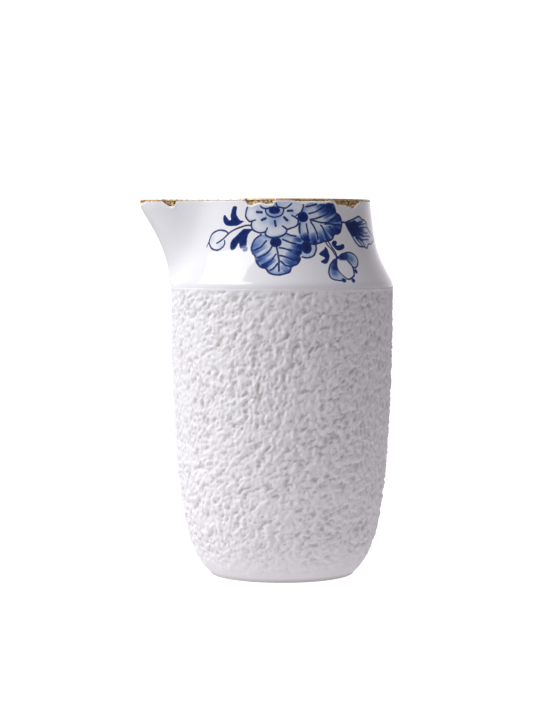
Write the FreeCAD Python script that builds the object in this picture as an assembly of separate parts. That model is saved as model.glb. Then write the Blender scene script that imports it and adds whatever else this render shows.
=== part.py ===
"""Porcelain cream jug: a slip-cast biscuit body with a glazed collar and spout, glazed inside,
gilded along the lip and in the small chips knocked out of it. Millimetres, +Z up, the origin at
the centre of the foot in the plane it stands on, the spout pointing along -X."""

import FreeCAD, Part

import math
import os

Vector = FreeCAD.Vector

# Driving dimensions.
HEIGHT = 110.0  # foot to lip
SHOULDER_Z = 84.6  # where the rough wall ends and the glazed collar begins
BODY_R = 32.6  # widest radius, at the shoulder
LIP_R = 25.75  # lip radius away from the spout
SPOUT_REACH = 42.0  # from the axis to the tip of the spout
FOOT_R = 20.4  # outer radius of the ring that it stands on
FOOT_RING_W = 3.4
FOOT_RECESS = 1.0
FLOOR_Z = 5.0  # inside floor, above the foot plane
FLOOR_CORNER_R = 9.0  # where the floor turns up into the wall
BODY_WALL = 3.3
LIP_WALL = 2.4
GLAZE_T = 0.3
LINER_T = 0.25  # glaze on the inside wall
GILDING_T = 0.25
GILDING_DROP = 0.55  # how far the gold runs down the outside of the lip
CHIP_DEPTH = 0.8  # how deep a chip bites into the wall

# Outside profiles, as (height, radius).
WALL_PROFILE = [
    (0.7, 21.3),
    (2.5, 23.1),
    (5.5, 25.1),
    (10.0, 27.1),
    (17.0, 28.8),
    (28.0, 30.35),
    (44.0, 31.5),
    (64.0, 32.3),
    (SHOULDER_Z, BODY_R),
]
COLLAR_PROFILE = [
    (SHOULDER_Z, BODY_R),
    (85.7, 32.5),
    (87.0, 31.9),
    (89.7, 30.45),
    (94.1, 28.4),
    (99.0, 27.15),
    (104.5, 26.4),
    (HEIGHT, LIP_R),
]
SPOUT_PROFILE = [
    (SHOULDER_Z, BODY_R),
    (86.5, 33.1),
    (90.6, 33.6),
    (94.1, 34.5),
    (97.7, 35.9),
    (101.1, 37.6),
    (104.7, 39.7),
    (107.6, 41.3),
    (HEIGHT, SPOUT_REACH),
]
# Half width of the spout where it leaves the collar, in degrees round the axis.
SPOUT_SPREAD_LIP = 22.0
SPOUT_SPREAD_SHOULDER = 9.0
SPOUT_FLARE = 0.6  # under 1, most of the widening is low down

# Chips in the lip: where each sits, in degrees from the spout towards the front, and its lower
# edge as (distance along the lip, depth below it).
CHIPS = {
    "spout_tip": (2.5, [(-3.4, 0.5), (-1.6, 0.9), (0.6, 1.2), (2.6, 0.9), (3.8, 0.5)]),
    "spout_side": (17.6, [(-2.4, 0.5), (-1.8, 1.3), (-0.4, 2.0), (1.0, 2.1), (1.8, 1.2), (2.4, 0.5)]),
    "front": (
        75.7,
        [(-4.4, 0.6), (-3.7, 1.6), (-2.4, 1.9), (-0.9, 1.3), (0.5, 1.2), (2.2, 1.7), (3.6, 1.5), (4.3, 0.6)],
    ),
    "front_edge": (111.5, [(-7.8, 0.5), (-4.5, 0.95), (-0.5, 0.8), (3.0, 0.95), (4.9, 0.5)]),
    "front_right": (
        138.4,
        [(-5.8, 1.2), (-4.8, 1.85), (-1.9, 1.95), (0.9, 2.7), (1.6, 2.6), (3.0, 1.7), (4.7, 1.1), (5.6, 0.5)],
    ),
    "back_right": (205.0, [(-3.0, 0.5), (-1.8, 1.5), (0.3, 1.9), (1.7, 1.1), (2.9, 0.5)]),
    "back": (262.0, [(-4.2, 0.5), (-2.7, 1.3), (-0.8, 1.0), (1.1, 2.2), (2.6, 1.6), (4.0, 0.5)]),
    "back_left": (318.0, [(-2.6, 0.5), (-1.3, 1.4), (0.4, 1.1), (1.6, 1.7), (2.7, 0.5)]),
}

OUTLINE_POINTS = 60
COLLAR_LEVELS = [SHOULDER_Z, 86.2, 88.5, 91.0, 93.5, 96.0, 99.0, 102.0, 105.0, 107.6, HEIGHT]
FLOOR_CORNER_TURNS = (8, 25, 45, 65)  # degrees round the corner between the floor and the wall
CAVITY_LEVELS = [22.0, 34.0, 48.0, 62.0, 76.0, 82.0, 87.5, 91.0, 95.0, 99.0, 103.0, 107.0, HEIGHT]


def smooth_value(points, x):
    """The value at x of a smooth curve through points, by cubic pieces that share their slopes."""

    def slope(i):
        low, high = max(i - 1, 0), min(i + 1, len(points) - 1)
        return (points[high][1] - points[low][1]) / (points[high][0] - points[low][0])

    x = min(max(x, points[0][0]), points[-1][0])
    i = max(k for k in range(len(points) - 1) if points[k][0] <= x)
    (x0, y0), (x1, y1) = points[i], points[i + 1]
    span = x1 - x0
    t = (x - x0) / span
    rise = (2 * t**3 - 3 * t**2 + 1) * y0 + (3 * t**2 - 2 * t**3) * y1
    turn = (t**3 - 2 * t**2 + t) * slope(i) + (t**3 - t**2) * slope(i + 1)
    return rise + turn * span


def outline_radius(z, angle):
    """Radius of the outside at height z; angle is in radians from the spout towards the front."""
    if z <= SHOULDER_Z:
        return smooth_value(WALL_PROFILE, z)
    collar = smooth_value(COLLAR_PROFILE, z)
    share = (z - SHOULDER_Z) / (HEIGHT - SHOULDER_Z)
    widening = (SPOUT_SPREAD_LIP - SPOUT_SPREAD_SHOULDER) * share**SPOUT_FLARE
    spread = math.radians(SPOUT_SPREAD_SHOULDER + widening)
    away = math.remainder(angle, 2 * math.pi) / spread
    return collar + (smooth_value(SPOUT_PROFILE, z) - collar) * math.exp(-(away**2))


def outline_point(z, angle):
    r = outline_radius(z, angle)
    return Vector(-r * math.cos(angle), -r * math.sin(angle), z)


def outline_frame(z, angle):
    """Point on the outline, its unit direction along the lip and its outward normal."""
    step = 1e-4
    ahead, behind = outline_point(z, angle + step), outline_point(z, angle - step)
    along = (ahead - behind).normalize()
    return outline_point(z, angle), along, Vector(along.y, -along.x, 0)


def section(z, inset):
    """Closed outline at height z, moved in from the outside surface by inset."""
    points = []
    for i in range(OUTLINE_POINTS):
        point, _, outward = outline_frame(z, 2 * math.pi * (i + 0.5) / OUTLINE_POINTS)
        points.append(point - outward * inset)
    curve = Part.BSplineCurve()
    curve.interpolate(Points=points, PeriodicFlag=True)
    return Part.Wire(curve.toShape())


def slab(low, high):
    half = SPOUT_REACH * 2
    return Part.makeBox(2 * half, 2 * half, high - low, Vector(-half, -half, low))


def collar_form(inset):
    """Solid collar and spout, from the shoulder to the lip, moved in by inset."""
    return Part.makeLoft([section(z, inset) for z in COLLAR_LEVELS], True, False)


def cavity_form(inset):
    """Solid that fills the inside of the jug, drawn in by inset from the finished inside wall."""

    def wall_at(z):
        share = max(0.0, (z - SHOULDER_Z) / (HEIGHT - SHOULDER_Z))
        return BODY_WALL + (LIP_WALL - BODY_WALL) * share - inset

    corner_top = FLOOR_Z - inset + FLOOR_CORNER_R
    levels = []
    for turn in FLOOR_CORNER_TURNS:
        z = corner_top - FLOOR_CORNER_R * math.cos(math.radians(turn))
        in_from_wall = FLOOR_CORNER_R * (1 - math.sin(math.radians(turn)))
        levels.append((z, wall_at(z) + in_from_wall))
    levels += [(z, wall_at(z)) for z in [corner_top, *CAVITY_LEVELS]]
    return Part.makeLoft([section(z, depth) for z, depth in levels], True, False)


def foot_and_wall():
    """Solid of revolution from the foot ring up to the shoulder, with the recess under the foot."""
    wall = Part.BSplineCurve()
    wall.interpolate([Vector(r, 0, z) for z, r in WALL_PROFILE])
    wall_z, wall_r = WALL_PROFILE[0]
    bulge = 0.1  # how far the rounded edge of the foot stands out from a straight bevel
    foot_round = Part.Arc(
        Vector(FOOT_R, 0, 0),
        Vector((FOOT_R + wall_r) / 2 + bulge, 0, wall_z / 2 - bulge),
        Vector(wall_r, 0, wall_z),
    )
    ring_in = FOOT_R - FOOT_RING_W
    corners = [
        Vector(BODY_R, 0, SHOULDER_Z),
        Vector(0, 0, SHOULDER_Z),
        Vector(0, 0, FOOT_RECESS),
        Vector(ring_in - FOOT_RECESS, 0, FOOT_RECESS),
        Vector(ring_in, 0, 0),
        Vector(FOOT_R, 0, 0),
    ]
    lines = [Part.LineSegment(a, b).toShape() for a, b in zip(corners, corners[1:])]
    outline = Part.Wire([wall.toShape(), *lines, foot_round.toShape()])
    return Part.Face(outline).revolve(Vector(0, 0, 0), Vector(0, 0, 1), 360)


def chip_prism(angle_deg, lower_edge):
    """Straight-sided plug through the lip, drawn in the plane that touches the lip at the chip."""
    at_lip, along, outward = outline_frame(HEIGHT, math.radians(angle_deg))
    above = 1.0
    reach = 5.0  # from the drawing plane in to the lip
    overhang = 0.35  # how much wider the chip is above the lip than at it
    first, last = lower_edge[0][0], lower_edge[-1][0]
    drawn = [(first - overhang, -above), *lower_edge, (last + overhang, -above)]
    start = at_lip + outward * reach
    corners = [start + along * distance - Vector(0, 0, depth) for distance, depth in drawn]
    face = Part.Face(Part.makePolygon([*corners, corners[0]]))
    return face.extrude(outward * -(reach + LIP_WALL))


def export(shape, name):
    """Writes the shape as one STEP file, and says how many solids it is."""
    solids = shape.Solids
    kept = solids[0] if len(solids) == 1 else Part.makeCompound(solids)
    kept.exportStep(f"parts/{name}.step")
    print(f"{name}: {len(solids)} solid, {kept.Volume / 1000:.3f} cm3, valid {kept.isValid()}")


def main():
    os.makedirs("parts", exist_ok=True)
    overlap = 1.0  # how far the collar's slabs reach below the shoulder, where nothing is left to cut
    lip_under = HEIGHT - GILDING_T
    gold_edge = HEIGHT - GILDING_DROP

    collar_outside = collar_form(0)
    collar_core = collar_form(GLAZE_T).common(slab(SHOULDER_Z - overlap, lip_under))
    chip_floor = collar_form(CHIP_DEPTH)
    chip_gold_face = collar_form(CHIP_DEPTH - GILDING_T)
    cavity = cavity_form(0)
    liner_outside = cavity_form(LINER_T)

    porcelain = foot_and_wall().fuse(collar_core).cut(liner_outside)
    glaze = collar_outside.common(slab(SHOULDER_Z - overlap, gold_edge)).cut(collar_core)
    liner = liner_outside.common(slab(0, lip_under)).cut(cavity)
    gilding = collar_outside.common(slab(gold_edge, HEIGHT + overlap)).cut(cavity).cut(collar_core)

    gold_in_chips = chip_gold_face.cut(chip_floor)
    for name, (angle_deg, lower_edge) in CHIPS.items():
        plug = chip_prism(angle_deg, lower_edge)
        bite = plug.cut(chip_floor)
        porcelain = porcelain.cut(bite)
        glaze = glaze.cut(plug)
        gilding = gilding.cut(bite)
        export(gold_in_chips.common(plug), f"gilded_chip_{name}")

    export(porcelain, "porcelain_body")
    export(glaze, "collar_glaze")
    export(liner, "inner_glaze")
    export(gilding, "lip_gilding")


main()
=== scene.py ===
import math

import bpy
import numpy as np
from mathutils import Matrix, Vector


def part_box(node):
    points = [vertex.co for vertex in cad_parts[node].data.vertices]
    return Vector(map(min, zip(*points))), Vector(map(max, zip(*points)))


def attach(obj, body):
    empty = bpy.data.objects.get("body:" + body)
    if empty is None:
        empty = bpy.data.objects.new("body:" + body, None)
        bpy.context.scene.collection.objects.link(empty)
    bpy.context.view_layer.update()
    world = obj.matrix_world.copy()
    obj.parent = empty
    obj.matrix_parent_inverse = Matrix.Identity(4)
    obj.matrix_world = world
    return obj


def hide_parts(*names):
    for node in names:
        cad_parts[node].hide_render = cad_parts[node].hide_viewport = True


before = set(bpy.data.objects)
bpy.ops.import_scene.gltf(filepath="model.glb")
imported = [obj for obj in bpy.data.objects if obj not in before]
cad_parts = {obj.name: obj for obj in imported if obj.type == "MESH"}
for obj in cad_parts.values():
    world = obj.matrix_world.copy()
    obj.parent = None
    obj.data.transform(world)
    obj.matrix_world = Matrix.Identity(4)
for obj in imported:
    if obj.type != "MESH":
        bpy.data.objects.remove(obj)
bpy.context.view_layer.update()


# ---- Camera
# It looks at the jug from the side, spout to the left, from just under the lip and tilted a
# little down, through a long lens so that the round wall is hardly distorted.

camera_data = bpy.data.cameras.new("camera")
camera_data.sensor_width = 36.0
camera_data.lens = 109.87
camera = bpy.data.objects.new("camera", camera_data)
camera.location = (-0.00456, -0.6382, 0.09823)
camera.rotation_euler = (math.radians(90 - 3.047), 0, 0)
bpy.context.scene.collection.objects.link(camera)
bpy.context.scene.camera = camera


# ---- Biscuit body
# The jug itself is one slip-cast piece of white porcelain: foot ring, wall, collar and spout.
# Below the collar it is left unglazed and matte, with a crumpled relief from the mould that dies
# out towards the foot and under a narrow smooth band at the glaze line.

MM = 0.001
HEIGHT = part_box("lip_gilding")[1].z / MM
SHOULDER_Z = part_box("collar_glaze")[0].z / MM
SPOUT_REACH = -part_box("collar_glaze")[0].x / MM
BODY_R = 32.6
FOOT_R = 20.4
FOOT_RING_W = 3.4
FOOT_RECESS = 1.0
GLAZE_T = 0.3
LINER_T = 0.25
WALL_START_Z = 0.7

# Outside profiles, as (height, radius) in millimetres.
WALL_PROFILE = [
    (WALL_START_Z, 21.3), (2.5, 23.1), (5.5, 25.1), (10.0, 27.1), (17.0, 28.8),
    (28.0, 30.35), (44.0, 31.5), (64.0, 32.3), (SHOULDER_Z, BODY_R),
]
COLLAR_PROFILE = [
    (SHOULDER_Z, BODY_R), (85.7, 32.5), (87.0, 31.9), (89.7, 30.45), (94.1, 28.4),
    (99.0, 27.15), (104.5, 26.4), (HEIGHT, 25.75),
]
SPOUT_PROFILE = [
    (SHOULDER_Z, BODY_R), (86.5, 33.1), (90.6, 33.6), (94.1, 34.5), (97.7, 35.9),
    (101.1, 37.6), (104.7, 39.7), (107.6, 41.3), (HEIGHT, SPOUT_REACH),
]
SPOUT_SPREAD_LIP = 22.0
SPOUT_SPREAD_SHOULDER = 9.0
SPOUT_FLARE = 0.6

# Chips in the lip, as (degrees from the spout towards the front, lower edge as distances along
# the lip and depths below it).
CHIPS = {
    "spout_tip": (2.5, [(-3.4, 0.5), (-1.6, 0.9), (0.6, 1.2), (2.6, 0.9), (3.8, 0.5)]),
    "spout_side": (17.6, [(-2.4, 0.5), (-1.8, 1.3), (-0.4, 2.0), (1.0, 2.1), (1.8, 1.2),
                          (2.4, 0.5)]),
    "front": (75.7, [(-4.4, 0.6), (-3.7, 1.6), (-2.4, 1.9), (-0.9, 1.3), (0.5, 1.2), (2.2, 1.7),
                     (3.6, 1.5), (4.3, 0.6)]),
    "front_edge": (111.5, [(-7.8, 0.5), (-4.5, 0.95), (-0.5, 0.8), (3.0, 0.95), (4.9, 0.5)]),
    "front_right": (138.4, [(-5.8, 1.2), (-4.8, 1.85), (-1.9, 1.95), (0.9, 2.7), (1.6, 2.6),
                            (3.0, 1.7), (4.7, 1.1), (5.6, 0.5)]),
    "back_right": (205.0, [(-3.0, 0.5), (-1.8, 1.5), (0.3, 1.9), (1.7, 1.1), (2.9, 0.5)]),
    "back": (262.0, [(-4.2, 0.5), (-2.7, 1.3), (-0.8, 1.0), (1.1, 2.2), (2.6, 1.6), (4.0, 0.5)]),
    "back_left": (318.0, [(-2.6, 0.5), (-1.3, 1.4), (0.4, 1.1), (1.6, 1.7), (2.7, 0.5)]),
}
CHIP_DEPTH = 0.8
SPOUT_TIP_CHIP_DEPTH = 0.3  # only a graze
GILDING_DROP = 0.55


def smooth_curve(points):
    """The smooth curve y(x) through points, with no jump in how it bends."""
    x, y = np.array(points, float).T
    h = np.diff(x)
    rows = np.eye(len(x))
    pull = np.zeros(len(x))
    for i in range(1, len(x) - 1):
        rows[i, i - 1 : i + 2] = h[i - 1], 2 * (h[i - 1] + h[i]), h[i]
        pull[i] = 6 * ((y[i + 1] - y[i]) / h[i] - (y[i] - y[i - 1]) / h[i - 1])
    bend = np.linalg.solve(rows, pull)

    def value(at):
        at = np.clip(at, x[0], x[-1])
        i = np.clip(np.searchsorted(x, at) - 1, 0, len(h) - 1)
        past, left = at - x[i], x[i + 1] - at
        cubic = (bend[i] * left**3 + bend[i + 1] * past**3) / (6 * h[i])
        return (cubic + (y[i] / h[i] - bend[i] * h[i] / 6) * left
                + (y[i + 1] / h[i] - bend[i + 1] * h[i] / 6) * past)

    return value


def ease(low, high, x):
    """0 below low, 1 above high, and a smooth step between them."""
    t = np.clip((x - low) / (high - low), 0, 1)
    return t * t * (3 - 2 * t)


wall_radius = smooth_curve(WALL_PROFILE)
collar_radius = smooth_curve(COLLAR_PROFILE)
spout_radius = smooth_curve(SPOUT_PROFILE)


def outline_radius(z, angle):
    """Radius of the outside; angle runs from the spout towards the front, in radians."""
    share = np.clip((z - SHOULDER_Z) / (HEIGHT - SHOULDER_Z), 0, 1)
    spread = SPOUT_SPREAD_SHOULDER + (SPOUT_SPREAD_LIP - SPOUT_SPREAD_SHOULDER) * share**SPOUT_FLARE
    away = (angle + math.pi) % (2 * math.pi) - math.pi
    spout = np.exp(-((away / np.radians(spread)) ** 2))
    collar = collar_radius(z)
    return np.where(z <= SHOULDER_Z, wall_radius(z), collar + (spout_radius(z) - collar) * spout)


def outline(z, angle, inset=0.0):
    """Points on the outside at heights z, moved in from it by inset, as an array of (x, y, z)."""
    z, angle, inset = np.broadcast_arrays(z, angle, inset)
    step = 1e-3
    r = outline_radius(z, angle)
    turn = (outline_radius(z, angle + step) - outline_radius(z, angle - step)) / (2 * step)
    along = np.stack([-turn * np.cos(angle) + r * np.sin(angle),
                      -turn * np.sin(angle) - r * np.cos(angle)], -1)
    along /= np.linalg.norm(along, axis=-1, keepdims=True)
    x = -r * np.cos(angle) - along[..., 1] * inset
    y = -r * np.sin(angle) + along[..., 0] * inset
    return np.stack([x, y, z], -1)


# The distance along the lip from the spout, which places the chips.
lip_angles = np.linspace(0, 2 * math.pi, 3601)
lip_points = outline(HEIGHT, lip_angles)
lip_distance = np.append(0, np.cumsum(np.linalg.norm(np.diff(lip_points, axis=0), axis=1)))


def chip_drop(angle, names=CHIPS):
    """How far below the lip the named chips reach at each angle; 0 where the lip is whole."""
    here = np.interp(angle % (2 * math.pi), lip_angles, lip_distance)
    drop = np.zeros_like(here)
    for name in names:
        degrees, edge = CHIPS[name]
        middle = np.interp(math.radians(degrees), lip_angles, lip_distance)
        along = (here - middle + lip_distance[-1] / 2) % lip_distance[-1] - lip_distance[-1] / 2
        places, depths = np.array(edge).T
        places = np.concatenate([[places[0] - 0.35], places, [places[-1] + 0.35]])
        drop = np.maximum(drop, np.interp(along, places, [0, *depths, 0], left=0, right=0))
    return drop


def lumps(points, size, seed):
    """Smooth noise, about -1 to 1, at points in millimetres; size is how far apart its lumps are."""
    cells = 64
    pull = np.random.default_rng(seed).standard_normal((cells, cells, cells, 3))
    scaled = points / size
    corner_0 = np.floor(scaled).astype(int)
    inside = scaled - corner_0
    blend = inside**3 * (inside * (inside * 6 - 15) + 10)
    total = np.zeros(points.shape[:-1])
    for corner in np.ndindex(2, 2, 2):
        i, j, k = np.moveaxis((corner_0 + corner) % cells, -1, 0)
        weight = np.prod(np.where(corner, blend, 1 - blend), axis=-1)
        total += weight * np.sum(pull[i, j, k] * (inside - corner), axis=-1)
    return total


def grid_faces(rows, columns, loop):
    """Corner numbers of the quads of a grid that closes round its columns, and round its rows too
    if loop is true."""
    i, j = np.meshgrid(np.arange(rows if loop else rows - 1), np.arange(columns), indexing="ij")
    below, above, right = i * columns, (i + 1) % rows * columns, (j + 1) % columns
    return np.stack([below + j, below + right, above + right, above + j], -1).reshape(-1, 4)


def build(name, points, loop=False, centres=()):
    """A smooth-shaded object from a grid of points in millimetres, rows by columns. centres are
    points that close the first and the last row of an open grid with a fan."""
    rows, columns = points.shape[:2]
    corners = grid_faces(rows, columns, loop).tolist()
    vertices = points.reshape(-1, 3)
    for k, centre in enumerate(centres):
        ring = 0 if k == 0 else (rows - 1) * columns
        tip = len(vertices)
        vertices = np.vstack([vertices, centre])
        for j in range(columns):
            side = (ring + j, ring + (j + 1) % columns)
            corners.append((*side[::-1], tip) if k == 0 else (*side, tip))
    mesh = bpy.data.meshes.new(name)
    mesh.from_pydata((vertices * MM).tolist(), [], corners)
    mesh.shade_smooth()
    piece = bpy.data.objects.new(name, mesh)
    bpy.context.scene.collection.objects.link(piece)
    return piece


def note(piece, name, values, kind="FLOAT"):
    """Stores one number, or three, on every vertex, for the material to read."""
    field = "value" if kind == "FLOAT" else "vector"
    layer = piece.data.attributes.new(name, kind, "POINT")
    layer.data.foreach_set(field, np.asarray(values, np.float32).ravel())


class Socket:
    """An output of a material's node. Arithmetic on it adds Math nodes."""

    def __init__(self, tree, link=None):
        self.tree, self.link = tree, link

    def node(self, kind, settings={}, sockets={}, output=0):
        """Adds a node: first its settings, then the values or links of its sockets."""
        added = self.tree.nodes.new("ShaderNode" + kind)
        for name, value in settings.items():
            if name == "stops":
                ramp = added.color_ramp.elements
                while len(ramp) < len(value):
                    ramp.new(0.5)
                for element, (position, color) in zip(ramp, value):
                    element.position, element.color = position, (*color, 1)
            else:
                setattr(added, name, value)
        for name, value in sockets.items():
            if isinstance(value, Socket):
                self.tree.links.new(value.link, added.inputs[name])
            else:
                added.inputs[name].default_value = value
        return Socket(self.tree, added.outputs[output] if added.outputs else None)

    def math(self, operation, *values):
        return self.node("Math", {"operation": operation}, dict(enumerate(values)))

    def __add__(self, other):
        return self.math("ADD", self, other)

    def __sub__(self, other):
        return self.math("SUBTRACT", self, other)

    def __rsub__(self, other):
        return self.math("SUBTRACT", other, self)

    def __mul__(self, other):
        return self.math("MULTIPLY", self, other)

    __radd__, __rmul__ = __add__, __mul__

    def between(self, low, high):
        """0 at low and 1 at high, whichever is the larger, and smooth between them."""
        return self.node("MapRange", {"interpolation_type": "SMOOTHSTEP"},
                         {"Value": self, "From Min": low, "From Max": high})

    def attribute(self, name, output="Fac"):
        return self.node("Attribute", {"attribute_name": name}, output=output)

    def noise(self, size, detail=2.0, roughness=0.5):
        """Noise with lumps about size millimetres apart, fixed to the piece."""
        spot = self.node("TexCoord", output="Object")
        return self.node("TexNoise", {}, {"Vector": spot, "Scale": 1 / (size * MM),
                                          "Detail": detail, "Roughness": roughness})

    def mix(self, factor, first, second):
        """A colour factor of the way from first to second."""
        return self.node("Mix", {"data_type": "RGBA"}, {0: factor, 6: first, 7: second}, output=2)

    def bump(self, height, distance, strength=1.0):
        """A Normal that follows height, which is worth distance millimetres."""
        return self.node("Bump", {}, {"Height": height, "Distance": distance * MM,
                                      "Strength": strength})


def finish(name):
    """A new material, and a socket to start its nodes from."""
    material = bpy.data.materials.new(name)
    material.use_nodes = True
    material.node_tree.nodes.clear()
    return material, Socket(material.node_tree)


def surface(start, **values):
    """Ends a material in one shader with these values or links for its sockets."""
    shader = start.node("BsdfPrincipled", {}, {k.replace("_", " "): v for k, v in values.items()})
    start.node("OutputMaterial", {}, {"Surface": shader})


def place(piece, material, node):
    """Gives a piece its material and puts it in the jug in place of its CAD node."""
    piece.data.materials.append(material)
    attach(piece, "root")
    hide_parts(node)


# The wall, as a grid fine enough to carry the relief.
WALL_COLUMNS = 600
WALL_STEP = 0.35
WALL_END_Z = SHOULDER_Z - 0.05
around = np.linspace(0, 2 * math.pi, WALL_COLUMNS, endpoint=False)
wall_z = np.linspace(WALL_START_Z, WALL_END_Z, int((SHOULDER_Z - WALL_START_Z) / WALL_STEP))
wall = outline(wall_z[:, None], around[None, :])

# The relief runs up to the right round most of the wall, upright in places, level near the foot.
across = np.stack([np.sin(around), -np.cos(around), 0 * around], -1)[None]
lean = 0.85 + 0.9 * lumps(wall, 26.0, 3)
lean -= 0.75 * (1 - ease(8, 40, wall_z))[:, None]
grain_way = across * np.cos(lean)[..., None] + np.array([0, 0, 1.0]) * np.sin(lean)[..., None]


def drawn_out(size, length, seed):
    """Noise drawn out along the way the relief runs, with a spread of 1."""
    steps = np.linspace(-length / 2, length / 2, 5)
    field = sum(lumps(wall + grain_way * step, size, seed) for step in steps)
    return field / field.std()


swells = drawn_out(2.3, 1.2, 4)
waves = drawn_out(1.2, 1.05, 5)
folds = np.abs(drawn_out(1.0, 0.9, 6))
knobs = drawn_out(0.62, 0.5, 7)
pits = ease(1.15, 2.3, drawn_out(0.85, 0.6, 8))
relief = (0.32 * swells + 0.42 * waves + 0.40 * np.minimum(folds, 1.6) ** 0.7 + 0.30 * knobs
          - 0.6 * pits)
relief = (relief - relief.mean()) / relief.std()

# It dies out towards the foot and at the smooth band, and no lump stands out past the shoulder.
RELIEF_DEPTH = 0.80
RELIEF_LOW, RELIEF_HIGH = -2.6, 2.0  # where its pits and its tops are cut off
RELIEF_SET_BACK = 0.29
BAND_STEP = 0.03  # how far the smooth band sits back from the glaze line
BAND_END_Z = SHOULDER_Z - 0.5
BAND_FADE = 0.8
strength = (0.3 + 0.7 * ease(2.5, 12.5, wall_z)) * ease(1.2, 3.2, wall_z)
strength *= 1 - ease(BAND_END_Z - BAND_FADE, BAND_END_Z, wall_z)
strength = strength[:, None] * (0.95 + 0.2 * lumps(wall, 14.0, 9))
height = np.clip(relief, RELIEF_LOW, RELIEF_HIGH) / 4 - RELIEF_SET_BACK
band = BAND_STEP * ease(BAND_END_Z - 1.0, BAND_END_Z, wall_z)
level = height * RELIEF_DEPTH * strength - band[:, None]
level = np.minimum(level, BODY_R - 0.02 - wall_radius(wall_z)[:, None])

slope = np.gradient(wall_radius(wall_z), wall_z)[:, None]
outward = np.stack(np.broadcast_arrays(-np.cos(around)[None], -np.sin(around)[None], -slope), -1)
outward = outward / np.hypot(1, slope)[..., None]
wall = wall + outward * level[..., None]


def circles(profile):
    """Rows of a grid from (radius, height) pairs."""
    return np.array([[(-r * math.cos(a), -r * math.sin(a), z) for a in around] for r, z in profile])


ring_in = FOOT_R - FOOT_RING_W
foot_round = [(FOOT_R + 0.9 * math.sin(t), WALL_START_Z * (1 - math.cos(t)) ** 0.9)
              for t in np.linspace(0.35, math.pi / 2, 5)[:-1]]
foot = circles([(3, FOOT_RECESS), (8, FOOT_RECESS), (13, FOOT_RECESS), (ring_in - 1.5, FOOT_RECESS),
                (ring_in - 0.9, FOOT_RECESS - 0.1), (ring_in - 0.35, 0.35), (ring_in + 0.1, 0.06),
                (ring_in + 0.6, 0.0), (FOOT_R - 0.3, 0.0), *foot_round])

# The collar goes on further in, under the glaze, and deeper still behind each chip.
BEHIND_CHIP = 1.3
CORE_ROWS = 18
core_z = np.concatenate([[SHOULDER_Z - 0.02],
                         np.linspace(SHOULDER_Z + 0.25, HEIGHT - GILDING_DROP, CORE_ROWS),
                         [HEIGHT - GLAZE_T]])[:, None]
chipped = ease(-0.9, -0.3, core_z - HEIGHT + chip_drop(around)[None]) * (chip_drop(around) > 0.3)
core = outline(core_z, around[None], GLAZE_T + (BEHIND_CHIP - GLAZE_T) * chipped)

# The inside, drawn in from the outside by the wall's thickness, down to a rounded floor.
BODY_WALL = 3.3
LIP_WALL = 2.4
FLOOR_Z = 5.0
FLOOR_CORNER_R = 9.0


def inside_rows(out, top, levels):
    """Grid rows of the inside wall from the top down to the floor, moved outward by out."""
    rows = []
    for z in np.linspace(top, FLOOR_Z - out + FLOOR_CORNER_R, levels):
        share = max(0, (z - SHOULDER_Z) / (HEIGHT - SHOULDER_Z))
        rows.append((z, BODY_WALL + (LIP_WALL - BODY_WALL) * share - out))
    for turn in np.linspace(82, 8, 10):
        z = FLOOR_Z - out + FLOOR_CORNER_R * (1 - math.cos(math.radians(turn)))
        rows.append((z, BODY_WALL - out + FLOOR_CORNER_R * (1 - math.sin(math.radians(turn)))))
    inside = [outline(z, around, inset) for z, inset in rows]
    rim = inside[-1]
    for share in (0.7, 0.35, 0.1):
        inside.append(np.array([0, 0, FLOOR_Z - out]) + (rim - rim[:, 2:] * [0, 0, 1]) * share)
    return np.array(inside)


HIDDEN_ROWS = 18
cavity = inside_rows(LINER_T, HEIGHT - GLAZE_T, HIDDEN_ROWS)
body_points = np.concatenate([foot, wall, core, cavity])
body = build("biscuit_body", body_points,
             centres=[(0, 0, FOOT_RECESS), (0, 0, FLOOR_Z - LINER_T)])

# Painted shade: the creases of the relief, and the foot next to the table, are darkened in colour where
# shade falls.
FOOT_SHADE_ROWS = len(foot) + 6
hollow = np.zeros(body_points.shape[:2])
# Painted shade in the creases: the lower the relief, the darker.
hollow[len(foot) : len(foot) + len(wall)] = np.clip(relief / RELIEF_LOW, 0, 1) * np.minimum(strength, 1)
foot_z = body_points[:FOOT_SHADE_ROWS, :, 2]
# Painted shade at the foot: darker towards its bottom edge, next to the table.
hollow[:FOOT_SHADE_ROWS] = 0.7 * (1 - ease(0.2, 2.2, foot_z)) * (foot_z > 0)
note(body, "hollow", np.append(hollow.ravel(), [hollow[0, 0], 0]))

# Unglazed porcelain: cool white, with painted shade that makes it a little darker and warmer in the
# creases and at the foot, and a fine grain that is dry to the touch.
biscuit, start = finish("biscuit_porcelain")
shade_mask = start.attribute("hollow")
cloud = start.noise(9.0, 3.0)
speck = start.noise(0.22, 1.0).between(0.62, 0.78)
white = start.mix(cloud, (0.80, 0.80, 0.83, 1), (0.86, 0.85, 0.86, 1))
# Painted shade: the crease and foot mask mixes the white towards a darker warm grey.
shaded_biscuit = start.mix(shade_mask.between(0.08, 0.75) * 0.55, white, (0.50, 0.455, 0.41, 1))
shaded_biscuit = start.mix(speck * 0.10, shaded_biscuit, (0.62, 0.60, 0.58, 1))
dry = start.noise(0.16, 3.0, 0.65) * 0.7 + start.noise(0.55, 2.0) * 0.6
surface(start, Base_Color=shaded_biscuit, Roughness=0.62 + start.noise(0.5, 2.0) * 0.25,
        Normal=start.bump(dry, 0.035, 0.8))
place(body, biscuit, "porcelain_body")


# ---- Glaze inside
# The inside is glazed white and shiny from the lip down over the rounded floor. It is a thin coat
# poured in and swirled round before the firing, so it lies close on the porcelain.

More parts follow.
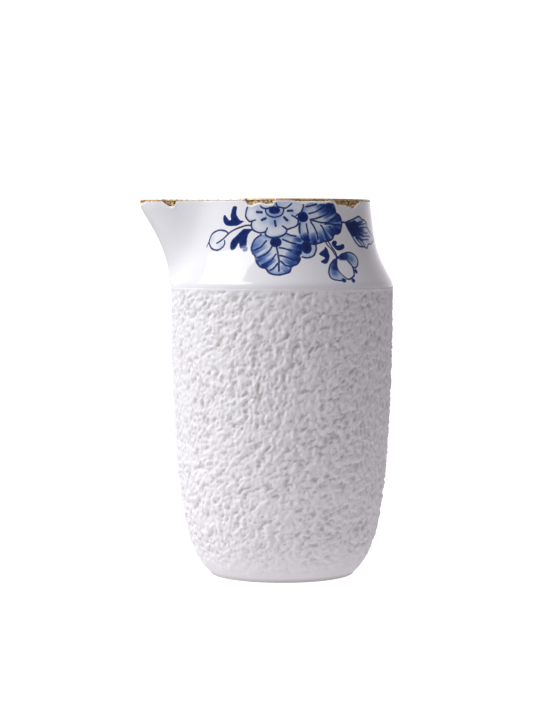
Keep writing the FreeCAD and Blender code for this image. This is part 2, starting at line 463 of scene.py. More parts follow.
LINING_T = LINER_T - 0.01  # a hair clear of the porcelain
LINING_TOP_Z = HEIGHT - 0.25
LINING_ROWS = 50
lining_points = np.concatenate([inside_rows(LINING_T, LINING_TOP_Z, HIDDEN_ROWS)[::-1],
                                inside_rows(0.0, LINING_TOP_Z, LINING_ROWS)])
lining = build("glazed_lining", lining_points,
               centres=[(0, 0, FLOOR_Z - LINING_T), (0, 0, FLOOR_Z)])
clear, start = finish("clear_glaze_inside")
milky = start.mix(start.noise(12.0, 2.0), (0.80, 0.81, 0.84, 1), (0.86, 0.86, 0.87, 1))
pinhole = start.noise(0.8, 1.0).between(0.74, 0.80)
milky = start.mix(pinhole * 0.5, milky, (0.55, 0.53, 0.50, 1))
surface(start, Base_Color=milky, Roughness=0.07 + start.noise(4.0, 2.0) * 0.06 + pinhole * 0.2,
        Normal=start.bump(start.noise(5.0, 1.0), 0.02, 0.5))
place(lining, clear, "inner_glaze")


# ---- Glazed collar with its painting
# Collar and spout carry a clear, glossy glaze over a spray of flowers brushed in cobalt: fine
# outlines, pale washes and near-black leaves. The glaze ends in a soft rolled edge at the shoulder
# and thickens round the chips. The same spray, brushed again, is on the far side.

PAINT_SCALE = 27.0  # radius that turns the painting's sideways millimetres into an angle
PAINT_LEFT, PAINT_RIGHT = -24.8, 37.6
PAINT_STEP = 0.23
SPOUT_STEP = 0.28
PLAIN_STEP = 0.42
front_from = math.pi / 2 + PAINT_LEFT / PAINT_SCALE
front_to = math.pi / 2 + PAINT_RIGHT / PAINT_SCALE


def spaced(first, last, step):
    """Angles from first up to, not including, last, about step millimetres apart."""
    count = max(2, round((last - first) * PAINT_SCALE / step))
    return np.linspace(first, last, count, endpoint=False)


full_turn = 2 * math.pi
glaze_angles = np.concatenate([
    spaced(-front_from, front_from, SPOUT_STEP),
    spaced(front_from, front_to, PAINT_STEP),
    spaced(front_to, full_turn - front_to, PLAIN_STEP),
    spaced(full_turn - front_to, full_turn - front_from, PAINT_STEP),
])
glaze_lip = outline(HEIGHT, glaze_angles)
ragged = 0.10 * lumps(glaze_lip, 0.7, 31) + 0.05 * lumps(glaze_lip, 5.0, 32)
glaze_drop = chip_drop(glaze_angles)
glaze_top = HEIGHT - np.maximum(glaze_drop, GILDING_DROP) + ragged

# Rows run up the outside, over the rounded top edge and down the hidden side.
GLAZE_ROWS = 110
BACK_ROWS = 12
GLAZE_START_Z = WALL_END_Z
ROLLED_EDGE = [(0.0, 0.03), (0.03, 0.008), (0.08, 0.0)]  # (height above the start, inset)
FIRST_ROW_Z = GLAZE_START_Z + 0.12
LAST_ROW_Z = HEIGHT - GILDING_DROP
EDGE_ROUND = 0.5
SWELL = 0.04  # how much thicker the glaze is along its upper edge
CHIP_SWELL = 0.12
chip_reach = ease(0.8, 1.1, glaze_drop)
glaze_rows = [outline(GLAZE_START_Z + rise, glaze_angles, inset) for rise, inset in ROLLED_EDGE]
for t in np.linspace(0, 1, GLAZE_ROWS) ** 0.96:
    z = FIRST_ROW_Z + (LAST_ROW_Z - FIRST_ROW_Z) * t
    low = (LAST_ROW_Z - glaze_top) * ease(0.72, 1.0, t)
    near_edge = np.clip((z - low - glaze_top + EDGE_ROUND) / EDGE_ROUND, 0, 1)
    swell = (SWELL + CHIP_SWELL * chip_reach) * ease(0.93, 0.985, t)
    rounding = GLAZE_T * (0.1 + 0.8 * ease(0.6, 0.9, glaze_drop))
    inset = rounding * (1 - np.sqrt(1 - (0.98 * near_edge) ** 2)) - swell * (1 - near_edge)
    glaze_rows.append(outline(z - low, glaze_angles, inset))
for t in np.linspace(0, 1, BACK_ROWS):
    z = glaze_top - 0.12 + (GLAZE_START_Z + 0.14 - glaze_top) * t
    glaze_rows.append(outline(z, glaze_angles, GLAZE_T + 0.06))
glaze_points = np.array(glaze_rows)
collar = build("glazed_collar", glaze_points, loop=True)

# The painting is worked out at every point of the outside: millimetres to the nearest fine line,
# millimetres to the nearest dark leaf, less than 0 inside, and how deep the wash is.
QUIVER = 0.08
FAR_SIDE_SHIFT = 1.1
angle_of = np.broadcast_to(glaze_angles % full_turn, glaze_points.shape[:2])
far_side = angle_of > math.pi
front_angle = np.where(far_side, full_turn - angle_of, angle_of)
paint_at = np.stack([(front_angle - math.pi / 2) * PAINT_SCALE, glaze_points[..., 2]], -1)
hand = np.stack([lumps(glaze_points, 9.0, 41), lumps(glaze_points, 9.0, 42)], -1)
quiver = np.stack([lumps(glaze_points, 1.6, 43), lumps(glaze_points, 1.6, 44)], -1)
paint_at = paint_at + QUIVER * quiver + FAR_SIDE_SHIFT * far_side[..., None] * hand
outside = np.zeros(angle_of.shape, bool)
outside[: len(ROLLED_EDGE) + GLAZE_ROWS] = True
FAR = 3.0  # the gap where nothing is painted
line_gap = np.full(angle_of.shape, FAR)
leaf_gap = np.full(angle_of.shape, FAR)
wash = np.zeros(angle_of.shape)


def curved(points, steps=4, closed=False):
    """Points along the smooth curve that passes through points."""
    p = np.array(points, float)
    ends = [p[-1:], p, p[:2]] if closed else [2 * p[:1] - p[1:2], p, 2 * p[-1:] - p[-2:-1]]
    p = np.concatenate(ends)
    t = (np.arange(steps) / steps)[:, None]
    out = [b + 0.5 * ((c - a) * t + (2 * a - 5 * b + 4 * c - d) * t**2
                      + (3 * b - a - 3 * c + d) * t**3)
           for a, b, c, d in zip(p, p[1:], p[2:], p[3:])]
    return np.concatenate(out + [p[-2:-1]])


def oval(centre, half_width, half_height, first=0, last=360, steps=24):
    """Points on an oval from first to last, in degrees."""
    t = np.radians(np.linspace(first, last, steps))
    return np.stack([centre[0] + half_width * np.cos(t), centre[1] + half_height * np.sin(t)], -1)


def close_by(line, reach):
    """Where the painted side of the glaze is near enough to the line to be worked out."""
    low, high = line.min(0) - reach, line.max(0) + reach
    return outside & np.all((paint_at > low) & (paint_at < high), axis=-1)


def gap_to(line, places):
    """Distance from places to the nearest point of the line."""
    nearest = np.full(len(places), FAR)
    for a, b in zip(line, line[1:]):
        run = b - a
        t = np.clip((places - a) @ run / max(run @ run, 1e-9), 0, 1)
        nearest = np.minimum(nearest, np.linalg.norm(places - a - t[:, None] * run, axis=1))
    return nearest


def inside_of(line, places):
    """Whether each place is inside the closed line."""
    crossings = np.zeros(len(places), int)
    x, y = places.T
    for (x0, y0), (x1, y1) in zip(line, np.roll(line, -1, axis=0)):
        if y0 != y1:
            crossings += ((y0 > y) != (y1 > y)) & (x < x0 + (y - y0) * (x1 - x0) / (y1 - y0))
    return crossings % 2 == 1


def brush_line(points, width=0.42):
    """A fine brushed line of even width, with round ends."""
    line = curved(points)
    where = close_by(line, 1.2)
    gap = gap_to(line, paint_at[where])
    line_gap[where] = np.minimum(line_gap[where], gap - width * 0.62)


def leaf_shape(points):
    """Where the glaze is near a closed outline, and the distance to it there, less than 0 inside."""
    line = curved(points, closed=True)
    where = close_by(line, 1.5)
    gap = gap_to(np.vstack([line, line[:1]]), paint_at[where])
    return where, np.where(inside_of(line, paint_at[where]), -gap, gap)


def dark_leaf(points):
    """A leaf, or the eye of a flower, filled in with the strongest blue."""
    where, gap = leaf_shape(points)
    leaf_gap[where] = np.minimum(leaf_gap[where], gap)


WASH_EDGE = 0.35


def washed(points, base, dabs=(), rim=0.0, fade=1.8):
    """A wash inside an outline: base all over, deeper by rim along the outline and fading inwards,
    with deeper or paler dabs as (place, depth, radius)."""
    where, gap = leaf_shape(points)
    places = paint_at[where]
    depth = base + rim * np.exp(gap / fade)
    for centre, value, radius in dabs:
        near = np.exp(-np.sum((places - centre) ** 2, axis=1) / radius**2)
        depth += (value - depth) * near
    wash[where] = np.maximum(wash[where], depth * np.clip(0.5 - gap / WASH_EDGE, 0, 1))


def wash_strokes(leaf, strokes):
    """Broad strokes of wash inside a leaf's outline, each as (first, last, width, depth). A stroke
    starts full at first and runs dry towards last."""
    kept = np.zeros(wash.shape)
    where, gap = leaf_shape(leaf)
    kept[where] = np.clip(0.5 - gap / WASH_EDGE, 0, 1)
    for first, last, width, depth in strokes:
        line = np.array([first, last], float)
        where = close_by(line, width)
        run = line[1] - line[0]
        dry = np.clip((paint_at[where] - line[0]) @ run / (run @ run), 0, 1)
        soft = ease(width * 0.95, width * 0.4, gap_to(line, paint_at[where])) * kept[where]
        wash[where] = np.maximum(wash[where], depth * (1 - dry) ** 0.48 * soft)


# Top left: a dark two-lobed leaf, a bud on a curled stem, and a dark leaf under the stem.
dark_leaf([(-15.8, 104.2), (-16.05, 105), (-15.9, 106), (-15.6, 107.2), (-15, 107.8), (-14.1, 107.7),
           (-13.95, 107), (-14.1, 106), (-13.9, 105.2), (-13.3, 104.4), (-12.6, 103.8), (-11.8, 103.65),
           (-11.5, 103.35), (-12, 103), (-13.5, 102.3), (-15, 102.15), (-16.6, 102.2), (-17.6, 102.5),
           (-18.3, 103.2), (-18.65, 104.2), (-18.6, 105), (-18.2, 105.35), (-17.8, 105.2),
           (-17.3, 104.6), (-16.7, 104), (-16, 103.8)])
bud = [(-16.6, 100.3), (-17.6, 100.8), (-19.4, 101), (-21, 100.75), (-22.3, 100.1), (-23.1, 99),
       (-23.4, 97.9), (-23.1, 96.9), (-22.3, 96.1), (-21.3, 95.6), (-20, 95.35), (-18.7, 95.6),
       (-17.7, 96.3), (-17.3, 97.2), (-17.45, 98.1)]
brush_line(bud)
washed(bud, 0.04, [((-18.6, 96.6), 0.16, 1.0), ((-22.4, 98.4), 0.14, 1.0)])
brush_line([(-23.3, 98.2), (-23.7, 97.3), (-24.1, 96.3)], 0.3)
brush_line([(-20.2, 97.35), (-18, 98.5), (-16.2, 100.15), (-14.1, 101.25), (-11.6, 102.1),
            (-10.3, 102.35), (-9.2, 102.35)], 0.42)
dark_leaf([(-8.5, 101.3), (-10, 101.35), (-11.6, 101.3), (-13, 100), (-14, 99.1), (-14.9, 98.3),
           (-15.3, 97.2), (-15.2, 96), (-14.8, 95.4), (-14.2, 95.3), (-13.6, 95.6), (-13.2, 96.4),
           (-12.75, 97.4), (-12.5, 97), (-12.2, 96.2), (-11.8, 95.7), (-11.3, 95.9), (-10.3, 96.3),
           (-10.2, 97.3), (-10.1, 99.2), (-9.8, 100), (-9.2, 100.6), (-8.5, 101)])
washed(oval((-10.5, 95.7), 0.85, 0.8), 0.6)

# The blossom: five petals round a near-black eye.
blossom = [(-9.7, 108.4), (-10.5, 107.6), (-11.05, 105.4), (-10.2, 103.8), (-9, 103.4), (-8.9, 101.6),
           (-7.5, 100.4), (-5.5, 100.2), (-4.95, 100.3), (-4, 99), (-2, 98.9), (0, 99.5), (1, 100.7),
           (3.3, 101.9), (4.45, 103.4), (4, 105.2), (6, 106.7), (5.9, 108.6), (2.6, 109), (-1.9, 109),
           (-6.9, 109)]
washed(blossom, 0.02, [((-2.35, 106.2), 0.46, 2.9), ((-2.4, 103.4), 0.36, 1.7), ((-7.0, 106.3), 0.26, 1.2),
                       ((2.6, 106), 0.28, 1.3), ((-5.6, 103.8), 0.26, 1.2), ((1.4, 103.6), 0.28, 1.2)],
       rim=0.16, fade=0.9)
dark_leaf(oval((-2.4, 106.6), 1.7, 1.15))
brush_line(oval((-2.35, 106.6), 2.65, 2.0, 168, 374), 0.36)
for petal_edge in [
    [(-9.7, 108.3), (-10.5, 107.6), (-11.05, 105.4), (-10.8, 104.5), (-10.2, 103.8), (-9.4, 103.4),
     (-8, 103.9)],
    [(-9, 103.4), (-9.15, 102.5), (-8.9, 101.6), (-8.3, 100.9), (-6.5, 100.2), (-5, 100.5)],
    [(-4.4, 101.6), (-4.95, 100.3), (-4.6, 99.5), (-3.2, 98.85), (-1, 99.1), (0.7, 100), (1.1, 101.2),
     (-0.1, 102.2)],
    [(1.1, 101.2), (3.3, 101.9), (4.2, 102.5), (4.45, 103.4), (4.2, 104.3), (2.7, 105.1)],
    [(4, 105.2), (5.2, 105.9), (6.2, 107.6), (5.9, 108.6)],
    [(-6.9, 108.6), (-6.3, 107.5), (-5.3, 107.1), (-4.2, 107.1), (-3.5, 107.6)],
    [(-1.9, 108.5), (-1.4, 107.7), (0.4, 107.2), (1.2, 107.4), (2.6, 108.4)],
]:
    brush_line(petal_edge, 0.42)
for petal_mark in [[(-7.6, 106.1), (-6.1, 106)], [(-6.0, 103.85), (-4.9, 104.35)],
                   [(-2.3, 103.6), (-2.0, 102.2)], [(0.4, 104.6), (1.3, 103.8)],
                   [(1.5, 106.4), (2.8, 106.5)]]:
    brush_line(petal_mark, 0.62)

# The striped leaf that hangs below the blossom.
low_leaf = [(-6.1, 99.7), (-7.9, 98.3), (-8.65, 96.2), (-8.2, 94.4), (-7.5, 93.8), (-7.1, 92.4),
            (-6.2, 91.2), (-5.4, 90.6), (-4.2, 90.2), (-3.4, 89.1), (-1.6, 88.45), (0.2, 88.7),
            (1.7, 89.4), (2.2, 90.7), (3.8, 91.6), (4.6, 92.9), (4.4, 93.6)]
brush_line(low_leaf, 0.42)
low_leaf += [(5.2, 94.6), (5.8, 96.4), (5.6, 98.2), (3.9, 99.6), (0.6, 99.9), (-3, 99.3)]
washed(low_leaf, 0.10, [((4.2, 94.6), 0.9, 1.7), ((2.9, 92.3), 0.72, 1.2), ((-5.2, 92.6), 0.6, 1.2)],
       0.42, 1.1)
wash_strokes(low_leaf, [
    ((-8.1, 96.8), (-4.6, 98.6), 1.7, 0.55), ((-7.9, 94.8), (-4.0, 97.0), 1.3, 0.66),
    ((-6.6, 92.5), (-3.0, 95.2), 1.3, 0.74), ((-4.7, 90.8), (-1.8, 93.3), 1.3, 0.88),
    ((-2.4, 89.1), (-1.5, 91.0), 1.0, 0.34), ((1.1, 89.4), (-0.7, 91.4), 1.3, 0.60),
    ((2.9, 91.3), (-0.3, 92.9), 1.1, 0.82), ((4.3, 92.6), (0.4, 94.3), 1.2, 0.92),
    ((4.8, 94.3), (1.2, 95.4), 1.3, 1.0), ((5.0, 96.2), (2.0, 96.8), 1.4, 0.95),
    ((4.7, 98.2), (2.4, 98.4), 1.1, 0.75),
])
dark_leaf(oval((-1.95, 97.6), 1.65, 1.45))
for vein in [
    [(-7.8, 95.3), (-7, 95.7), (-6, 96.3), (-5.2, 97.2), (-4.6, 98)],
    [(-7, 93.2), (-5, 94), (-4.1, 94.7), (-3.4, 95.5), (-3, 96.3)],
    [(-5.3, 91.3), (-3.4, 92.1), (-2.6, 92.9), (-1.9, 94.2)],
    [(-3.1, 89.8), (-2.4, 90.1), (-1.35, 91.7)],
    [(-1.7, 96.3), (-1.2, 94.2), (-1.05, 93), (-1, 91.5), (-1, 89.5)],
    [(1.3, 100), (2.3, 99.6), (3.7, 99.2)],
    [(0, 98.4), (1, 98), (2.2, 97.5), (3.6, 97.25)],
    [(-0.9, 96.1), (0.1, 95.9), (1.2, 95.6), (2.3, 95.2)],
    [(-0.6, 93.9), (0.3, 93.6), (2.2, 92.9), (3.4, 92.6)],
    [(-0.5, 92.3), (0.1, 91.7), (0.9, 91), (2.3, 90.8)],
]:
    brush_line(vein)

# The striped leaf to the right of the blossom.
right_leaf = [(11.3, 108.3), (12.5, 108.6), (14.5, 108.5), (15.8, 108.3), (16.5, 106.6), (16.4, 106),
              (18, 105), (18.5, 103), (18, 101.2), (17.5, 100.4), (16.6, 100), (15.5, 99.8), (14.8, 98.7),
              (13.4, 98), (11.8, 97.8), (10, 97.2), (9, 97), (8, 97.2)]
brush_line(right_leaf, 0.42)
right_leaf += [(5.4, 98.2), (4.4, 101), (4.6, 103), (6.2, 107), (8, 108.6)]
washed(right_leaf, 0.10, [((16.0, 101.3), 0.8, 1.7), ((14.6, 107.2), 0.85, 1.7), ((16.9, 104.3), 0.75, 1.5),
                          ((12.6, 99.2), 0.6, 1.3), ((8.6, 98.2), 0.7, 1.2)], 0.42, 1.1)
wash_strokes(right_leaf, [
    ((12.2, 108.3), (9.4, 107.0), 1.0, 0.75), ((14.6, 108.0), (10.2, 105.5), 1.7, 0.95),
    ((16.2, 106.8), (11.6, 104.4), 1.5, 0.92), ((17.9, 104.4), (12.6, 103.1), 1.4, 0.90),
    ((18.1, 102.2), (13.8, 102.2), 1.0, 0.75), ((17.2, 100.7), (13.2, 102.2), 1.4, 0.92),
    ((15.1, 99.8), (12.3, 102.1), 1.3, 0.85), ((13.4, 98.2), (11.6, 101.8), 1.2, 0.82),
    ((11.4, 97.8), (10.4, 101.2), 1.3, 0.78), ((9.1, 97.4), (8.6, 100.6), 1.3, 0.88),
    ((6.7, 98.1), (6.5, 100.6), 1.6, 1.0), ((5.2, 98.6), (5.2, 100.2), 0.9, 0.85),
])
dark_leaf(oval((5.9, 104.7), 1.6, 1.5))
for vein in [
    [(7, 107.6), (8, 107.7), (9, 108), (10.2, 108.4)],
    [(7.7, 105.6), (9.6, 106.1), (11.4, 107), (13.2, 108.3)],
    [(8, 104), (10.2, 104.4), (12.6, 105.3), (13.8, 106.1), (15, 107)],
    [(8.1, 103.9), (10.6, 103.3), (12.2, 103.1), (13.8, 103.3), (15.3, 104.1), (17.2, 105.3)],
    [(8.2, 103.3), (9.2, 101.7), (9.9, 100), (10.1, 98.5)],
    [(6.8, 102.8), (7.15, 101), (7.25, 100.2)],
    [(5, 103), (4.8, 102), (4.9, 100.2)],
    [(11.2, 102.4), (11.8, 101.7), (12.7, 99.5), (12.8, 98.6)],
    [(13.9, 102), (14.6, 101.4), (15.8, 100.1)],
    [(12.5, 102.7), (14.5, 102.8), (16.2, 102.5), (17.6, 102.6)],
]:
    brush_line(vein)

# A dark berry, and the sprig of small leaves with the big berry bud below it.
washed(oval((6.6, 96), 2.7, 2.7), 0.22)
dark_leaf(oval((6.6, 96.2), 1.5, 1.9))
brush_line([(9.3, 97), (9.35, 96), (9, 94.8), (8.4, 93.9), (7.5, 93.4), (6.3, 93.2), (5.2, 93.5)])
brush_line([(5.2, 99), (5.7, 98.4), (6.1, 98.1)], 0.3)
brush_line([(12.3, 97.6), (13, 96.6), (13.9, 95.7), (14.4, 95), (15.1, 93.6)], 0.34)
brush_line([(13.1, 97.8), (13.8, 96.9), (14.4, 96), (15, 95), (15.25, 94), (15.2, 93.4)], 0.34)
dark_leaf([(12.1, 96.3), (12.7, 95.7), (13.05, 94), (12.8, 93), (12.3, 92.1), (11.7, 91.6), (11, 91.55),
           (10.3, 91.9), (10.2, 92.3), (10.8, 92.7), (11.5, 93.1), (11, 93.6), (10.2, 93.9), (9.95, 94.4),
           (10.5, 94.9), (11.3, 95.3), (11.8, 95.9)])
dark_leaf([(14.2, 97.2), (14.6, 97.9), (15.4, 98.1), (16, 97.8), (16.1, 97.3), (15.7, 96.8), (16.5, 96.7),
           (17.4, 97), (18.2, 97.1), (18.6, 96.8), (18.6, 96.2), (18.2, 95.7), (17.3, 95.4), (16.3, 95.2),
           (15.5, 95.5), (15, 96), (14.5, 96.6)])
dark_leaf(oval((15.3, 93.3), 0.55, 0.5, steps=12))
left_sepal = [(15.1, 93), (14, 92.5), (13, 91.6), (12.3, 90.6), (11.8, 89.5), (11.7, 88.5), (12, 87.6),
              (12.6, 87.1), (13.4, 86.9), (14.4, 86.8), (15, 86.9)]
brush_line(left_sepal, 0.36)
washed(left_sepal + [(16.3, 87.5), (15.2, 88.6), (14.7, 89.5), (14.5, 90.6), (14.7, 91.6), (15, 92.8)],
       0.22,
       [((14.6, 92.0), 1.0, 1.4), ((13.8, 90.4), 0.92, 1.2), ((13.3, 88.9), 0.60, 0.9)])
brush_line([(15, 92.8), (14.5, 90.6), (14.7, 89.5), (15.2, 88.6), (16.3, 87.5)], 0.32)
brush_line([(18.5, 92.2), (19.3, 91.2), (19.5, 90.2), (19.3, 89), (18.8, 88), (17.2, 87.2),
            (16.3, 87.3)], 0.4)
right_sepal = [(15.4, 93.2), (17, 94.2), (19.2, 94.7), (20.4, 94.6), (21.4, 94.2), (22.2, 93.4),
               (22.4, 92.4), (22, 91.6), (21.3, 90.8), (20.6, 90.4), (20, 90.3), (19.6, 90.8)]
brush_line(right_sepal, 0.36)
washed(right_sepal + [(19, 91.6), (18.2, 92.3), (17.2, 92.5), (15.9, 92.5)], 0.22,
       [((16.8, 93.4), 1.0, 1.3), ((18.4, 93.5), 0.90, 1.2), ((20.0, 92.8), 0.55, 1.0)])
for dot, radius in [((15.4, 86.9), 0.62), ((18.2, 86.8), 0.58), ((20.1, 89.4), 0.58)]:
    washed(oval(dot, radius, radius, steps=12), 0.9)

# The fan-shaped flower at the right.
brush_line([(18.5, 103.3), (19.5, 103.2), (20.2, 103.1)], 0.5)
dark_leaf([(19.8, 102.9), (21, 103.3), (22.5, 103.5), (24, 103.9), (25, 103.5), (25.8, 102.6), (26, 101.5),
           (25.8, 100.5), (25, 99.8), (23.8, 99.3), (22.6, 99.2), (21.8, 100), (20.8, 101.4)])
fan_over = [(19.5, 103.2), (23, 104), (26, 104.95), (27.2, 104.8), (28.2, 104.1), (29.5, 104), (31.3, 103),
            (31.4, 101.8), (34.5, 99.8), (37, 98.6)]
fan_under = [(37, 98.6), (34, 97.6), (32.5, 97.1), (30.3, 97), (28.8, 95.9), (27, 96.3), (24.6, 96.5),
             (22.9, 98.3), (21, 101.1), (19.9, 102.8)]
brush_line(fan_over, 0.42)
brush_line(fan_under, 0.42)
washed(fan_over + fan_under[1:], 0.10, [((26.5, 101), 0.45, 2.6)], 0.16, 0.8)
for vein in [
    [(25.8, 101.5), (27.5, 101.9), (29.5, 101.9), (31.4, 101.8)],
    [(26.5, 100.8), (29, 100.2), (31, 100.3)],
    [(26, 100), (28, 99.3), (30, 99.4), (32.5, 99.2)],
    [(24.5, 99.3), (26, 98.6), (27.5, 98.3), (31, 98.4)],
    [(23.6, 98.9), (25, 97.8), (26.3, 96.9)],
    [(25.5, 98.8), (27, 97.6), (27.6, 96.6)],
    [(24.4, 102.8), (26.4, 103.3), (28.4, 103.5)],
    [(25.2, 102.2), (27.4, 102.7), (30.2, 102.9)],
]:
    brush_line(vein, 0.36)
wash_strokes(fan_over + fan_under[1:], [
    ((24.6, 102.4), (28.6, 103.4), 1.1, 1.0), ((25.4, 101.0), (29.6, 101.2), 1.1, 1.0),
    ((25.2, 100.0), (29.0, 99.4), 1.0, 0.95), ((24.2, 99.2), (27.6, 97.8), 0.9, 0.9),
])

# The glaze is bare and thick in a narrow border round each chip; the bare white there also stands in for
# the glint along the rounded glaze edge, a painted highlight.
bare_glint_border = ease(-0.8, -0.45, glaze_points[..., 2] - glaze_top) * chip_reach
line_gap += 2 * bare_glint_border
leaf_gap += 2 * bare_glint_border
wash *= 1 - bare_glint_border
note(collar, "painting", np.stack([line_gap, leaf_gap, wash], -1), "FLOAT_VECTOR")

# White glaze over the painting; the blue has soft edges where it bled into the glaze, and pools
# darker where the brush was lifted.
glaze, start = finish("collar_glaze_and_cobalt")
painted = start.node("Attribute", {"attribute_name": "painting"}, output="Vector")
line_at = painted.node("SeparateXYZ", {}, {0: painted}, output="X")
leaf_at = painted.node("SeparateXYZ", {}, {0: painted}, output="Y")
wash_at = painted.node("SeparateXYZ", {}, {0: painted}, output="Z")
bleed = (start.noise(0.5, 2.0) - 0.5) * 0.14
brushing = start.noise(1.5, 3.0, 0.6)
pool = start.noise(0.9, 2.0, 0.6)
ground = start.mix(start.noise(11.0, 2.0), (0.80, 0.81, 0.85, 1), (0.85, 0.85, 0.87, 1))
pinhole = start.noise(0.7, 1.0).between(0.76, 0.80)
ground = start.mix(pinhole * 0.4, ground, (0.55, 0.52, 0.50, 1))
wash_depth = wash_at * (0.72 + brushing * 0.56)
wash_blue = start.node("ValToRGB", {"stops": [
    (0.0, (0.83, 0.84, 0.88)), (0.16, (0.60, 0.67, 0.80)), (0.38, (0.27, 0.38, 0.62)),
    (0.60, (0.060, 0.13, 0.38)), (0.82, (0.010, 0.036, 0.19)), (1.0, (0.005, 0.015, 0.12))]},
    {0: wash_depth})
tinted = start.mix(wash_depth.between(0.01, 0.07), ground, wash_blue)
line_blue = start.mix(pool.between(0.3, 0.7), (0.004, 0.013, 0.10, 1), (0.016, 0.042, 0.19, 1))
lined = start.mix((line_at + bleed).between(0.07, -0.07) * 0.96, tinted, line_blue)
leaf_depth = (leaf_at * -1.0).between(0.0, 0.9) * 0.5 + pool.between(0.25, 0.75) * 0.5
leaf_blue = start.mix(leaf_depth, (0.010, 0.045, 0.24, 1), (0.002, 0.008, 0.075, 1))
color = start.mix((leaf_at + bleed).between(0.08, -0.08), lined, leaf_blue)
surface(start, Base_Color=color, Roughness=0.05 + start.noise(3.0, 2.0) * 0.05 + pinhole * 0.2,
        Specular_IOR_Level=0.32,
        Normal=start.bump(start.noise(4.5, 1.0), 0.012, 0.5))
place(collar, glaze, "collar_glaze")


# ---- Gilding on the lip
# A thin line of gold lustre is brushed round the lip once the glaze is fired, then fired on. It
# caps the rim, laps a little down the outside, and is worn pale beside the spout.

LIP_COLUMNS = 1100
LIP_ROUND = 0.22
LIP_TOP_Z = HEIGHT - 0.02
lip_round = np.linspace(0, full_turn, LIP_COLUMNS, endpoint=False)
lip_at = outline(HEIGHT, lip_round)
ripple = 0.05 * lumps(lip_at, 0.9, 51) + 0.03 * lumps(lip_at, 3.5, 52)
brush_edge = GILDING_DROP + 0.10 * lumps(lip_at, 2.6, 54) + 0.05 * lumps(lip_at, 0.8, 55)

# In a chip its outer edge is set back to the broken face.
gone = ease(0.45, 1.0, chip_drop(lip_round))
grazed = ease(0.45, 1.0, chip_drop(lip_round, ["spout_tip"]))
bite = CHIP_DEPTH + (SPOUT_TIP_CHIP_DEPTH - CHIP_DEPTH) * grazed
outer = (bite - 0.05 + np.abs(0.16 * lumps(lip_at, 0.55, 53))) * gone

# Its section, as (height, inset): up the outside, over the top, down the inside and back below.
quarter = np.linspace(0, math.pi / 2, 5)[1:]
section = [(HEIGHT - brush_edge, outer + 0.10), (HEIGHT - brush_edge, outer - 0.03),
           (HEIGHT - 0.38, outer - 0.03), (HEIGHT - LIP_ROUND, outer)]
for t in quarter:
    section.append((LIP_TOP_Z - LIP_ROUND * (1 - math.sin(t)) + ripple * math.sin(t) * 0.4,
                    outer + LIP_ROUND * (1 - math.cos(t))))
for t in (0.35, 0.65, 1.0):
    section.append((LIP_TOP_Z + ripple * 0.4 * (1 - t),
                    outer + LIP_ROUND + (LIP_WALL - 2 * LIP_ROUND - outer) * t))
for t in quarter:
    section.append((LIP_TOP_Z - LIP_ROUND * (1 - math.cos(t)),
                    LIP_WALL - LIP_ROUND * (1 - math.sin(t))))
for inset in (LIP_WALL + 0.02, LIP_WALL - 0.3, outer + 0.5):
    section.append((HEIGHT - 0.5 + ripple, inset))
lip_points = np.array([outline(np.minimum(z, HEIGHT), lip_round, inset) for z, inset in section])
lip = build("gilt_lip", lip_points, loop=True)

# It is rubbed bare beside the spout, and half bare on the far side.
lip_degrees = np.degrees(lip_round)
worn = ease(14, 26, lip_degrees) * (1 - ease(60, 70, lip_degrees))
worn += 0.6 * ease(200, 215, lip_degrees) * (1 - ease(238, 250, lip_degrees))
note(lip, "worn", np.broadcast_to(worn, lip_points.shape[:2]))

gold, start = finish("gold_lustre")
GOLD_LIGHT = (0.80, 0.56, 0.28, 1)
GOLD_DARK = (0.26, 0.15, 0.05, 1)
GOLD_WORN = (0.93, 0.88, 0.80, 1)
flecks = start.noise(0.7, 3.0, 0.75).between(0.46, 0.58)
streaks = start.noise(1.6, 3.0, 0.6).between(0.35, 0.65)
rubbed = start.attribute("worn") * (0.24 + start.noise(0.9, 3.0) * 0.95)
gilt = start.mix(flecks * 0.75, GOLD_LIGHT, GOLD_DARK)
gilt = start.mix(streaks * 0.35, gilt, (0.86, 0.66, 0.38, 1))
gilt = start.mix(rubbed.between(0.45, 0.85), gilt, GOLD_WORN)
surface(start, Base_Color=gilt, Metallic=0.45 - rubbed * 0.4, Roughness=0.36 + flecks * 0.25,
        Normal=start.bump(start.noise(0.4, 3.0, 0.6), 0.05, 0.7))
place(lip, gold, "lip_gilding")


# ---- Gilded chips
# The lip is knocked here and there, as if by long use, and each scooped chip is brushed with the
# same gold over its gritty broken face, so it comes out a darker brown gold.

bare, start = finish("gold_on_broken_porcelain")
grit = start.noise(0.75, 3.0, 0.75)
coarse = start.noise(0.8, 2.0, 0.6)
broken = start.mix(grit.between(0.44, 0.54), (0.07, 0.035, 0.012, 1), (0.74, 0.50, 0.22, 1))
broken = start.mix(coarse.between(0.52, 0.68) * 0.75, broken, (0.36, 0.21, 0.08, 1))
broken = start.mix(start.noise(0.6, 1.0).between(0.60, 0.68), broken, (0.92, 0.78, 0.54, 1))
surface(start, Base_Color=broken, Metallic=0.3, Roughness=0.45 + coarse * 0.25,
        Normal=start.bump(grit, 0.12, 0.9))

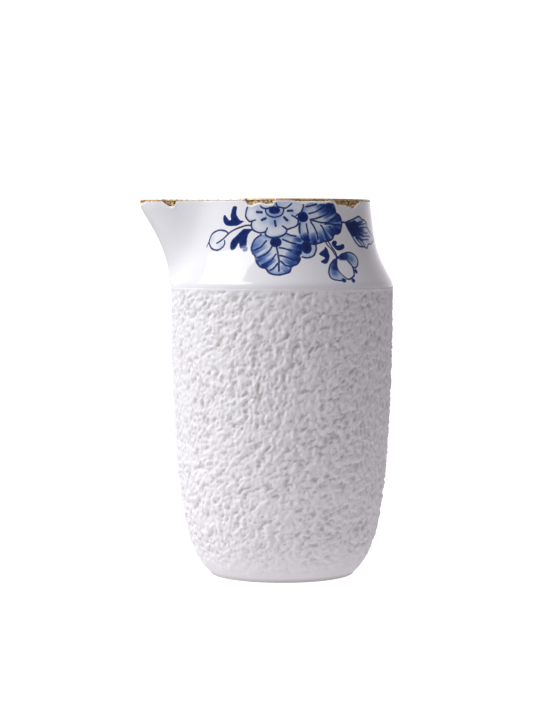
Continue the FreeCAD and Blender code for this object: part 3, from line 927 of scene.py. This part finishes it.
CHIP_STEP = 0.11
CHIP_ROWS = 26
CHIP_TOP_Z = HEIGHT - 0.12
CHIP_BACK_T = 0.45
for name, (degrees, edge) in CHIPS.items():
    middle = np.interp(math.radians(degrees), lip_angles, lip_distance)
    ends = middle + np.array([edge[0][0] - 0.45, edge[-1][0] + 0.45])
    along = np.linspace(*ends, round((ends[1] - ends[0]) / CHIP_STEP))
    angles = np.interp(along % lip_distance[-1], lip_distance, lip_angles)
    drop = np.maximum(chip_drop(angles, [name]), 0.05) + 0.12
    depth = SPOUT_TIP_CHIP_DEPTH if name == "spout_tip" else CHIP_DEPTH
    front_rows, back_rows = [], []
    for t in np.linspace(0, 1, CHIP_ROWS):
        z = CHIP_TOP_Z - (drop - 0.12) * t
        to_edge = np.minimum((1 - t) * drop, 0.9 * np.minimum(along - ends[0], ends[1] - along))
        at = outline(z, angles)
        scoop = depth * ease(-0.25, 0.75, to_edge) + 0.10
        rough = 0.16 * lumps(at, 0.75, 61) + 0.09 * lumps(at, 0.33, 62)
        face = np.maximum(scoop + rough * ease(0, 0.4, to_edge + 0.2), 0.06)
        front_rows.append(outline(z, angles, face))
        back_rows.append(outline(z, angles, depth + CHIP_BACK_T)[::-1])
    # Front and back meet round the rim, so the grid runs round the patch and closes on itself.
    patch = np.concatenate([front_rows, back_rows], axis=1)[::-1]
    piece = build(f"gilt_chip_{name}", patch)
    place(piece, bare, f"gilded_chip_{name}")


# ---- Table and studio
# A plain white table, and plain soft light: one large soft lamp high on the left, which the glaze
# mirrors, and a pale room that is dimmer to the right and brighter behind the jug.

FLOOR_R = 0.24
floor_turn = np.linspace(0, full_turn, 96, endpoint=False)
floor_mesh = bpy.data.meshes.new("floor")
floor_points = [(FLOOR_R * math.cos(t), FLOOR_R * math.sin(t), 0) for t in floor_turn]
floor_mesh.from_pydata(floor_points, [], [range(len(floor_turn))])
floor = bpy.data.objects.new("floor", floor_mesh)
bpy.context.scene.collection.objects.link(floor)
paper, start = finish("white_table")
sheet = start.mix(start.noise(60.0, 2.0), (0.30, 0.30, 0.30, 1), (0.34, 0.34, 0.34, 1))
seen = start.node("LightPath", output="Is Camera Ray")
glow = start.mix(seen, (0.56, 0.53, 0.56, 1), (1, 1, 1, 1))
surface(start, Base_Color=sheet, Roughness=0.9, Emission_Color=glow, Emission_Strength=1.0)
floor_mesh.materials.append(paper)

world = bpy.data.worlds.new("studio")
world.use_nodes = True
world.node_tree.nodes.clear()
bpy.context.scene.world = world
start = Socket(world.node_tree)
way = start.node("TexCoord", output="Generated")
to_right = start.node("SeparateXYZ", {}, {0: way}, output="X")
back = start.node("SeparateXYZ", {}, {0: way}, output="Y")
up = start.node("SeparateXYZ", {}, {0: way}, output="Z")
room = 0.32 - to_right.between(-0.7, 0.5) * 0.14 + up.between(0.1, 1.0) * 0.28
room = (room + back.between(0.4, 1.0) * 1.1) * (0.3 + up.between(-0.12, 0.02) * 0.7)
seen = start.node("LightPath", output="Is Camera Ray")
background = start.node("Background", {}, {"Color": (1.0, 0.945, 1.0, 1),
                                           "Strength": room * (1 - seen) + seen * 1.2})
start.node("OutputWorld", {}, {"Surface": background})

lamp_data = bpy.data.lights.new("soft_left", "AREA")
lamp_data.shape = "RECTANGLE"
lamp_data.size, lamp_data.size_y = 0.86, 0.36
lamp_data.energy = 6.8
lamp_data.color = (0.98, 0.99, 1.0)
lamp = bpy.data.objects.new("soft_left", lamp_data)
lamp.location = (-0.62, -0.19, 0.612)
LAMP_AIM = Vector((0, 0, 0.06))
lamp.rotation_euler = (LAMP_AIM - lamp.location).to_track_quat("-Z", "Y").to_euler()
bpy.context.scene.collection.objects.link(lamp)

bpy.context.scene.view_settings.view_transform = "Standard"
